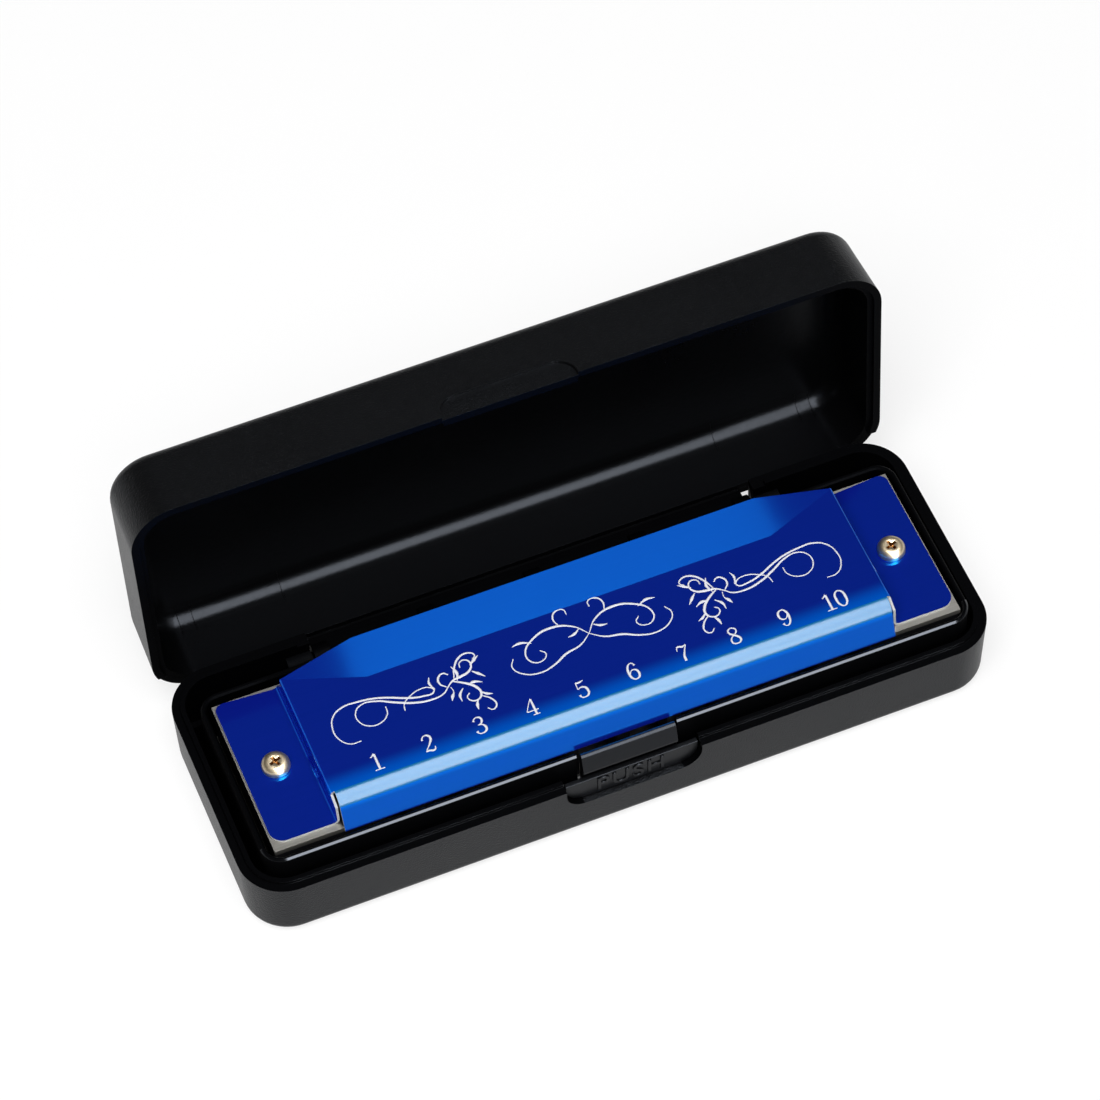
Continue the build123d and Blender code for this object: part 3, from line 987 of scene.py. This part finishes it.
@dataclass
class CoverPlate(Assembly):
    """One bent sheet-metal cover, drawn as the upper one about the harmonica's own middle.

    Attributes:
        middle: The harmonica's middle in the case: depth and height.
        sheet: Sheet thickness.
        body_half: Half length of the raised body.
        flare_half: Half length of the full-height flare.
        crown: Height of the flat top.
        nose_y: Where skirt and top would meet.
        nose_r: How far the nose's rounding reaches along skirt and top.
        nose_lean: Least and most that the nose's faces look up.
        relief: How far past the nose the relief cut reaches.
        skirt_y: How far in front the skirt's foot stands.
        skirt_low: Height of the skirt's foot.
        flare_start: Where the flare begins, in the middle and at the ends.
        rear: Rear edge's depth and height in the middle.
        rear_end: Rear edge's depth at the ends, where the flare has died away.
        tab: Height of the tabs' top face.
        tab_half: Half length over both tabs.
        tab_front: Front edge of the tabs.
        tab_back: Rear edge of the tabs.
        tab_slope: How far the rear edge comes in towards the wall's foot.
        corners: Rounding of the tabs' front and rear corners.
        bend: Outer radius of the bends at the body's ends.
        bend_steps: Steps round each bend and corner.
        wall_front: Depth and height where the end wall's front edge is furthest forward.
    """

    middle: Pair = (-2.65 * MM, 11.32 * MM)
    sheet: float = 0.35 * MM
    body_half: float = 41.2 * MM
    flare_half: float = 30.0 * MM
    crown: float = 8.9 * MM
    nose_y: float = -11.0 * MM
    nose_r: float = 1.41 * MM
    nose_lean: Pair = (0.36, 0.9999)
    relief: float = 0.03 * MM
    skirt_y: float = -12.98 * MM
    skirt_low: float = 3.75 * MM
    flare_start: Pair = (6.0 * MM, 9.9 * MM)
    rear: Pair = (12.1 * MM, 10.0 * MM)
    rear_end: float = 10.3 * MM
    tab: float = 4.5 * MM
    tab_half: float = 50.35 * MM
    tab_front: float = -11.6 * MM
    tab_back: float = 12.5 * MM
    tab_slope: float = 0.6 * MM
    corners: Pair = (2.0 * MM, 1.4 * MM)
    bend: float = 0.6 * MM
    bend_steps: int = 12
    wall_front: Pair = (-11.3 * MM, 7.5 * MM)

    @property
    def split(self) -> float:
        """Where the relief cut between nose and end wall stops."""
        return self.nose_y + self.nose_r + self.relief

    def crown_sheet(self) -> Piece:
        """The flat top with its flare, between the lines where the end bends start.

        Returns:
            The sheet's outer surface so far.
        """
        deselect_all()
        front, back, start = self.nose_y, self.flare_start[0], self.body_half - self.bend
        bpy.ops.mesh.primitive_plane_add(size=1, location=(0, (front + back) / 2, self.crown))
        sheet = bpy.context.object
        sheet.scale = (2 * start, back - front, 1)
        settle(sheet)
        for place, normal in (((-self.flare_half, 0, 0), (1, 0, 0)),
                              ((self.flare_half, 0, 0), (1, 0, 0)),
                              ((0, self.split, 0), (0, 1, 0))):
            pick(sheet, "FACE")
            bpy.ops.mesh.bisect(plane_co=place, plane_no=normal)
        pick(sheet, "EDGE", lies_at(sheet, y=back))
        self.draw(0, self.rear[0] - back, self.rear[1] - self.crown)
        for side in (-1, 1):
            self.shift(sheet, (side * start, back, self.crown), self.flare_start[1] - back)
            self.shift(sheet, (side * start, *self.rear), self.rear_end - self.rear[0],
                       self.crown - self.rear[1])
        return sheet

    def draw(self, x: float, y: float, z: float) -> None:
        """Draw new sheet out from the selected edges by a distance along each axis."""
        bpy.ops.mesh.extrude_edges_move(TRANSFORM_OT_translate={"value": (x, y, z)})

    def shift(self, sheet: Piece, place: Point, back: float, up: float = 0.0) -> None:
        """Move the corner of the sheet that lies at a place.

        Args:
            sheet: The sheet.
            place: Where the corner is.
            back: How far it goes back.
            up: How far it goes up.
        """
        pick(sheet, "VERT", lambda knot: (knot.co - Vector(place)).length < TOUCH)
        bpy.ops.transform.translate(value=(0, back, up))

    def fold_skirt(self, sheet: Piece) -> None:
        """Fold the skirt down in front and round the nose.

        Args:
            sheet: The sheet.
        """
        nose = lies_at(sheet, y=self.nose_y, z=self.crown)
        pick(sheet, "EDGE", nose)
        self.draw(0, self.skirt_y - self.nose_y, self.skirt_low - self.crown)
        pick(sheet, "EDGE", nose)
        bpy.ops.mesh.bevel(offset=self.nose_r, segments=self.bend_steps, affect="EDGES")

    def fold_end(self, sheet: Piece, side: int) -> None:
        """Bend one end wall down and its tab out.

        Args:
            sheet: The sheet.
            side: -1 for the left end, 1 for the right one.
        """
        start, wall = side * (self.body_half - self.bend), side * self.body_half
        foot, end = side * (self.body_half + self.bend), side * self.tab_half
        high, low = self.crown - self.bend, self.tab + self.bend
        quarter = {"steps": self.bend_steps, "axis": (0, 1, 0)}
        at_start = lies_at(sheet, x=start, z=self.crown)
        pick(sheet, "EDGE", lambda edge: at_start(edge) and all(
            point.y > self.split - TOUCH for point in edge_ends(sheet, edge)))
        bpy.ops.mesh.spin(angle=-side * math.pi / 2, center=(start, 0, high), **quarter)
        pick(sheet, "EDGE", lies_at(sheet, x=wall, z=high))
        for level in (self.wall_front[1], low):
            bpy.ops.mesh.extrude_edges_move()
            bpy.ops.transform.resize(value=(1, 1, 0), center_override=(0, 0, level))
        self.shift(sheet, (wall, self.split, self.wall_front[1]), self.wall_front[0] - self.split)
        self.shift(sheet, (wall, self.split, low), self.tab_front - self.split)
        self.shift(sheet, (wall, self.rear_end, low),
                   self.tab_back - self.tab_slope - self.rear_end)
        pick(sheet, "EDGE", lies_at(sheet, x=wall, z=low))
        bpy.ops.mesh.spin(angle=side * math.pi / 2, center=(foot, 0, low), **quarter)
        pick(sheet, "EDGE", lies_at(sheet, x=foot, z=self.tab))
        self.draw(end - foot, 0, 0)
        self.shift(sheet, (end, self.tab_back - self.tab_slope, self.tab), self.tab_slope)
        for y, radius in zip((self.tab_front, self.tab_back), self.corners):
            corner = Vector((end, y, self.tab))
            pick(sheet, "VERT", lambda knot: (knot.co - corner).length < TOUCH)
            bpy.ops.mesh.bevel(offset=radius, segments=self.bend_steps, affect="VERTICES")

    def make(self, side: str) -> None:
        """Make one cover.

        Args:
            side: "upper" or "lower".
        """
        sheet = self.crown_sheet()
        self.fold_skirt(sheet)
        self.fold_end(sheet, -1)
        self.fold_end(sheet, 1)
        pick(sheet, "FACE")
        bpy.ops.mesh.remove_doubles(threshold=0.2 * TOUCH)
        bpy.ops.mesh.normals_make_consistent(inside=False)
        take(sheet)
        if sum(face.normal.z * face.area for face in sheet.data.polygons) < 0:
            pick(sheet, "FACE")
            bpy.ops.mesh.flip_normals()
            take(sheet)
        self.paint(sheet, "blue", "edge", "bend", "edge")
        # The nose's faces take the bend finish, whose brighter base colour is a painted highlight.
        least, most = self.nose_lean
        for face in sheet.data.polygons:
            if face.center.y < self.split and least < face.normal.z < most:
                face.material_index = 2
        modify(sheet, "SOLIDIFY", thickness=self.sheet, offset=-1.0, material_offset_rim=1,
               use_even_offset=True)
        if side == "lower":
            pick(sheet, "FACE")
            bpy.ops.transform.resize(value=(1, 1, -1), center_override=(0, 0, 0))
            bpy.ops.mesh.flip_normals()
        sheet.location = (0, *self.middle)
        sheet.name = f"{side}_cover_sheet"
        settle(sheet)
        smooth(sheet, degrees=8.5)
        self.mount(sheet, "harmonica", "cover_metal", f"cover_{side}")

    def build(self) -> None:
        """Make both covers."""
        self.make("upper")
        self.make("lower")


@dataclass
class CoverScrew(Assembly):
    """A pan-head screw with a cross recess, down through both covers.

    Attributes:
        x: Distance from the middle.
        y: Depth in the case.
        seat: Height that the head sits on.
        foot: Height of the shank's end.
        head_r: Head radius.
        head_h: Head height.
        dome: Rounding of the head's top.
        rim: Rounding of the head's underside.
        shank_r: Shank radius.
        recess: Half length, half width and depth of the cross.
        taper: What is left of the cross's length and width at its bottom.
        turn: How far the cross is turned, in degrees.
        wear: Width of the worn edges.
        worn_turn: How sharply an edge turns before it wears, in degrees.
        stained: Radius of the recess that takes the darker brown finish, and its least and
            greatest height.
    """

    x: float = 45.775 * MM
    y: float = -2.65 * MM
    seat: float = 15.82 * MM
    foot: float = 5.32 * MM
    head_r: float = 2.0 * MM
    head_h: float = 1.4 * MM
    dome: float = 0.95 * MM
    rim: float = 0.12 * MM
    shank_r: float = 0.9 * MM
    recess: tuple[float, float, float] = (1.15 * MM, 0.26 * MM, 0.75 * MM)
    taper: Pair = (0.45, 0.6)
    turn: float = 20.0
    wear: float = 0.05 * MM
    worn_turn: float = 40.0
    stained: tuple[float, float, float] = (1.2 * MM, 0.3 * MM, 1.3 * MM)

    def head(self) -> Piece:
        """The rounded head with its shank drawn down from its underside.

        Returns:
            The head and shank.
        """
        deselect_all()
        bpy.ops.mesh.primitive_cylinder_add(vertices=48, radius=self.head_r, depth=self.head_h,
                                            location=(0, 0, self.seat + self.head_h / 2))
        head = settle(bpy.context.object)
        pick(head, "EDGE", lies_at(head, z=self.seat + self.head_h))
        bpy.ops.mesh.bevel(offset=self.dome, segments=8, affect="EDGES")
        pick(head, "EDGE", lies_at(head, z=self.seat))
        bpy.ops.mesh.bevel(offset=self.rim, segments=2, affect="EDGES")
        pick(head, "FACE", looks_down)
        bpy.ops.mesh.inset(thickness=self.head_r - self.rim - self.shank_r)
        bpy.ops.mesh.extrude_region_move(
            TRANSFORM_OT_translate={"value": (0, 0, self.foot - self.seat)})
        return head

    def cutter(self) -> Piece:
        """The tapered cross that cuts the recess.

        Returns:
            The cutter.
        """
        arms = []
        for turn in (self.turn, self.turn + 90):
            deselect_all()
            bpy.ops.mesh.primitive_cube_add(size=2, location=(0, 0, self.seat + self.head_h))
            arm = bpy.context.object
            arm.scale = self.recess
            settle(arm)
            pick(arm, "FACE", looks_down)
            bpy.ops.transform.resize(value=(*self.taper, 1))
            arm.rotation_euler.z = math.radians(turn)
            arms.append(settle(arm))
        modify(arms[0], "BOOLEAN", operation="UNION", object=arms[1], solver="EXACT")
        bpy.data.objects.remove(arms[1])
        return arms[0]

    def build(self) -> None:
        """Make the left screw and copy it for the right."""
        left, cross = self.head(), self.cutter()
        modify(left, "BOOLEAN", operation="DIFFERENCE", object=cross, solver="EXACT")
        bpy.data.objects.remove(cross)
        modify(left, "BEVEL", width=self.wear, segments=2, limit_method="ANGLE",
               angle_limit=math.radians(self.worn_turn), use_clamp_overlap=True)
        smooth(left, degrees=30)
        left.name = "cover_screw_left"
        self.paint(left, "screw", "recess")
        # Faces in the cross recess take the darker brown finish.
        reach, lowest, highest = self.stained
        for face in left.data.polygons:
            height = face.center.z - self.seat
            if face.center.xy.length < reach and lowest < height < highest:
                face.material_index = 1
        right = left.copy()
        right.data = left.data.copy()
        right.name = "cover_screw_right"
        bpy.context.scene.collection.objects.link(right)
        left.location, right.location = (-self.x, self.y, 0), (self.x, self.y, 0)
        for screw in (left, right):
            self.mount(screw, "harmonica", "screw_metal", "cover_screws")


# Pen strokes of the print: each point is x, y and weight, in digit heights or in millimetres

DIGITS: dict[str, list[Stroke]] = {
    "0": [[(.33, .99, .5), (.15, .86, .85), (.08, .5, 1.1), (.15, .14, .85), (.33, .01, .5),
           (.51, .14, .85), (.58, .5, 1.1), (.51, .86, .85), (.33, .99, .5)]],
    "1": [[(.14, .80, .4), (.25, .87, .6), (.36, .97, .8)],
          [(.37, .95, 1.0), (.37, .5, 1.0), (.37, .03, 1.0)],
          [(.12, .015, .4), (.37, .02, .5), (.62, .015, .4)]],
    "2": [[(.11, .74, 1.15), (.13, .84, .6), (.30, .98, .5), (.50, .90, .95), (.54, .72, 1.05),
           (.42, .48, .8), (.22, .24, .5), (.08, .05, .4)],
          [(.08, .05, .4), (.22, .09, .8), (.42, .03, .95), (.55, .06, .6), (.60, .22, .4)]],
    "3": [[(.11, .78, 1.1), (.16, .90, .5), (.32, .98, .5), (.50, .90, .9), (.51, .68, .95),
           (.38, .55, .5), (.26, .53, .4)],
          [(.26, .53, .4), (.42, .51, .6), (.57, .36, 1.0), (.55, .13, 1.0), (.32, .01, .5),
           (.13, .07, .5), (.09, .20, 1.1)]],
    "4": [[(.45, .97, .4), (.24, .64, .4), (.03, .29, .4)],
          [(.03, .27, .45), (.33, .27, .45), (.64, .27, .45)],
          [(.46, .95, .7), (.46, .5, 1.0), (.46, .03, 1.0)],
          [(.28, .015, .4), (.46, .02, .5), (.63, .015, .4)]],
    "5": [[(.14, .96, .5), (.13, .75, .4), (.12, .53, .4)],
          [(.14, .93, .8), (.33, .92, .9), (.53, .97, .4)],
          [(.12, .53, .4), (.28, .62, .5), (.49, .56, .95), (.58, .34, 1.1), (.51, .10, .9),
           (.30, .01, .5), (.13, .07, .5), (.09, .20, 1.1)]],
    "6": [[(.51, .80, 1.05), (.47, .92, .5), (.34, .98, .5), (.17, .84, .85), (.09, .55, 1.05),
           (.10, .25, 1.05), (.22, .04, .7), (.33, .01, .5), (.50, .09, .85), (.57, .30, 1.05),
           (.51, .50, .85), (.35, .58, .5), (.20, .50, .5), (.12, .36, .6)]],
    "7": [[(.06, .72, .4), (.09, .88, .5)],
          [(.09, .92, .7), (.22, .96, .9), (.40, .90, .9), (.60, .96, .4)],
          [(.60, .95, .4), (.42, .62, .6), (.30, .33, .95), (.28, .04, 1.15)]],
    "8": [[(.33, .98, .5), (.16, .90, .7), (.13, .74, .8), (.27, .57, .9), (.45, .42, 1.0),
           (.56, .22, 1.0), (.48, .05, .7), (.32, .01, .5), (.14, .06, .7), (.08, .23, .8),
           (.17, .42, .5), (.36, .54, .4), (.50, .68, .65), (.51, .86, .7), (.33, .98, .5)]],
}
DIGITS["9"] = [[(.66 - x, 1.0 - y, weight) for x, y, weight in stroke] for stroke in DIGITS["6"]]

VINE: list[Stroke] = [
    [(-34.4, -6.1, .5), (-35.9, -6.0, .6), (-37.1, -4.7, .6), (-37.3, -2.7, .65), (-36.5, -.9, .7),
     (-34.8, 0, .8), (-32.7, 0, .9), (-30.6, -.3, .95), (-28.5, -1.0, 1.0), (-26.3, -2.0, 1.1),
     (-24.2, -2.6, .9), (-22.4, -2.4, .7), (-22.7, -1.7, .6), (-24.2, -1.4, .6), (-25.7, -1.9, .6),
     (-26.9, -2.8, .5), (-27.2, -3.9, .5)],
    [(-29.4, -2.2, .5), (-29.6, -3.4, .55), (-30.9, -4.4, .6), (-32.5, -4.3, .6),
     (-33.6, -3.1, .6), (-33.5, -1.5, .6), (-32.2, -.6, .7), (-30.2, -.9, .9),
     (-28.1, -2.0, 1.1), (-25.7, -3.1, 1.1), (-23.1, -3.6, .9), (-21.3, -3.3, .7),
     (-20.5, -2.6, .6)],
    [(-20.5, -2.6, .6), (-19.4, -1.8, .9), (-18.1, -1.6, 1.3), (-16.8, -1.2, 1.1),
     (-16.2, -.2, .8), (-16.7, .7, .7), (-17.6, .5, .6), (-17.8, -.3, .5)],
    [(-19.6, -1.9, .6), (-18.0, -2.9, 1.2), (-16.9, -4.0, 1.4), (-16.6, -5.2, 1.1),
     (-17.3, -6.0, .8), (-18.2, -5.9, .7), (-18.6, -5.1, .6), (-18.1, -4.6, .5)],
    [(-20.6, -2.5, .5), (-21.3, -1.6, .9), (-21.1, -.6, 1.0), (-20.3, -.2, .8), (-19.7, -.7, .6)],
    [(-16.5, -1.4, .5), (-15.8, -2.1, 1.5), (-15.1, -2.9, .3)],
    [(-16.4, -.4, .5), (-15.6, .2, 1.5), (-14.8, .7, .3)],
    [(-16.6, -5.0, .5), (-15.9, -5.6, 1.4), (-15.2, -5.9, .3)],
    [(-17.4, -6.0, .5), (-17.8, -6.8, 1.5), (-17.9, -7.6, .3)],
    [(-20.1, -2.7, .4), (-20.0, -3.6, .4), (-20.4, -4.2, 1.6), (-20.7, -4.9, .3)],
    [(-22.2, -2.2, .4), (-22.6, -1.0, 1.2), (-22.3, -.1, .3)],
    [(-18.9, -2.1, .4), (-18.5, -.8, 1.5), (-18.9, .4, .3)],
    [(-17.8, -3.3, .4), (-16.9, -3.1, 1.5), (-15.8, -3.6, .3)],
    [(-18.6, -3.5, .4), (-19.4, -4.4, 1.4), (-19.5, -5.5, .3)],
    [(-19.2, -1.6, .5), (-18.6, -.1, .9), (-17.3, 1.4, 1.0), (-15.9, 1.6, .8), (-15.2, .9, .6),
     (-15.7, .4, .5)],
    [(-16.7, -5.6, .5), (-15.6, -6.7, .9), (-15.4, -7.8, .8), (-16.1, -8.3, .6),
     (-16.7, -7.8, .5)],
]

FLOURISH: list[Stroke] = [
    [(0, -1.0, .4), (1.6, .9, .8), (4.4, 1.9, 1.2), (7.4, 1.2, 1.0), (9.3, -.7, .8),
     (9.0, -2.3, .7), (7.6, -2.7, .6), (6.7, -1.8, .6), (7.3, -1.0, .5)],
    [(0, -1.0, .4), (1.8, -2.3, .8), (4.2, -2.9, 1.1), (6.2, -3.9, .9), (8.6, -4.4, .7),
     (10.9, -3.6, .7), (11.8, -2.1, .6), (11.2, -.9, .5)],
    [(3.4, 1.8, .5), (3.7, 3.2, .8), (2.9, 4.2, .8), (1.8, 4.0, .6), (1.7, 3.1, .5)],
    [(1.1, .2, .4), (1.9, -.3, 1.4), (2.9, -.5, .3)],
    [(7.9, .6, .4), (9.4, 1.2, 1.4), (10.6, 1.0, .3)],
]


@dataclass
class SilverPrint(Assembly):
    """Hole numbers and ornament printed on the upper cover.

    Attributes:
        level: Height of the cover's flat top.
        holes: How many there are.
        pitch: Distance between holes.
        height: Height of the numbers.
        foot: Depth of the numbers' feet in the case.
        advance: Step from digit to digit, in heights.
        half_digit: Half the width of a digit, in heights.
        nib: Half width of a digit's plain stroke, in heights.
        pen: Half width of a plain stroke in the ornament.
        film: Thickness of the print.
        flourish: Where the flourish's own origin lies, in millimetres.
    """

    level: float = 20.225 * MM
    holes: int = 10
    pitch: float = 7.5 * MM
    height: float = 2.75 * MM
    foot: float = -11.35 * MM
    advance: float = 0.70
    half_digit: float = 0.33
    nib: float = 0.066
    pen: float = 0.165 * MM
    film: float = 0.012 * MM
    flourish: Pair = (0.6, -0.9)

    def finish(self, drawing: Piece) -> None:
        """Press strokes into a thin film on the cover, paint them and mount them.

        Args:
            drawing: The strokes as a mesh.
        """
        tallest = max(abs(vertex.co.z - self.level) for vertex in drawing.data.vertices)
        pick(drawing, "VERT")
        bpy.ops.transform.resize(value=(1, 1, self.film / tallest),
                                 center_override=(0, 0, self.level))
        take(drawing)
        self.paint(drawing, "print")
        self.mount(drawing, "harmonica", "cover_metal")

    def number(self, hole: int) -> None:
        """Print the number of one hole.

        Args:
            hole: Its number, counted from the left.
        """
        text, size = str(hole), self.height
        advance = self.advance * size
        start = ((hole - (self.holes + 1) / 2) * self.pitch - advance * (len(text) - 1) / 2
                 - self.half_digit * size)
        strokes = [[(start + x * size + place * advance, self.foot + y * size, self.level, weight)
                    for x, y, weight in stroke]
                   for place, digit in enumerate(text) for stroke in DIGITS[digit]]
        self.finish(ink(f"hole_number_{hole:02d}", strokes, self.nib * size))

    def ornament(self, name: str, drawing: list[Stroke], side: int,
                 centre: Pair = (0.0, 0.0)) -> None:
        """Print one half of the ornament.

        Args:
            name: The piece's name.
            drawing: Strokes in millimetres.
            side: 1 as drawn, -1 mirrored left to right.
            centre: Where the drawing's origin lies, in millimetres.
        """
        strokes = [[((centre[0] + side * x) * MM, (centre[1] + y) * MM, self.level, weight)
                    for x, y, weight in stroke] for stroke in drawing]
        self.finish(ink(name, strokes, self.pen))

    def build(self) -> None:
        """Print the numbers and the ornament."""
        for hole in range(1, self.holes + 1):
            self.number(hole)
        for name, side in (("vine_left", 1), ("vine_right", -1)):
            self.ornament(name, VINE, side)
        for name, side in (("flourish_right", 1), ("flourish_left", -1)):
            self.ornament(name, FLOURISH, side, self.flourish)


def dress_solids(finishes: Palette) -> None:
    """Give every solid its finish, by the start of its name.

    Args:
        finishes: The materials by short name.
    """
    starts = {"reed_plate": "plate", "reed": "reed", "rivets": "reed", "comb": "comb",
              "cover_screws": "screw", "cover_nuts": "screw", "plate_nails": "screw",
              "cover": "blue", "": "outside"}
    for name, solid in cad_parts.items():
        finish = next(key for start, key in starts.items() if name.startswith(start))
        for slot in solid.material_slots:
            slot.material = finishes[finish]


def main() -> None:
    """Build the studio, the case and the harmonica, and report each piece."""
    logging.basicConfig(level=logging.INFO, format="%(message)s")
    Studio().build()
    finishes = make_finishes()
    dress_solids(finishes)
    for kind in (Case, CoverPlate, CoverScrew, SilverPrint):
        assembly = kind(finishes)
        assembly.build()
        for piece in assembly.pieces:
            LOG.info("%s: %d faces", piece.name, len(piece.data.polygons))


if __name__ == "__main__":
    main()
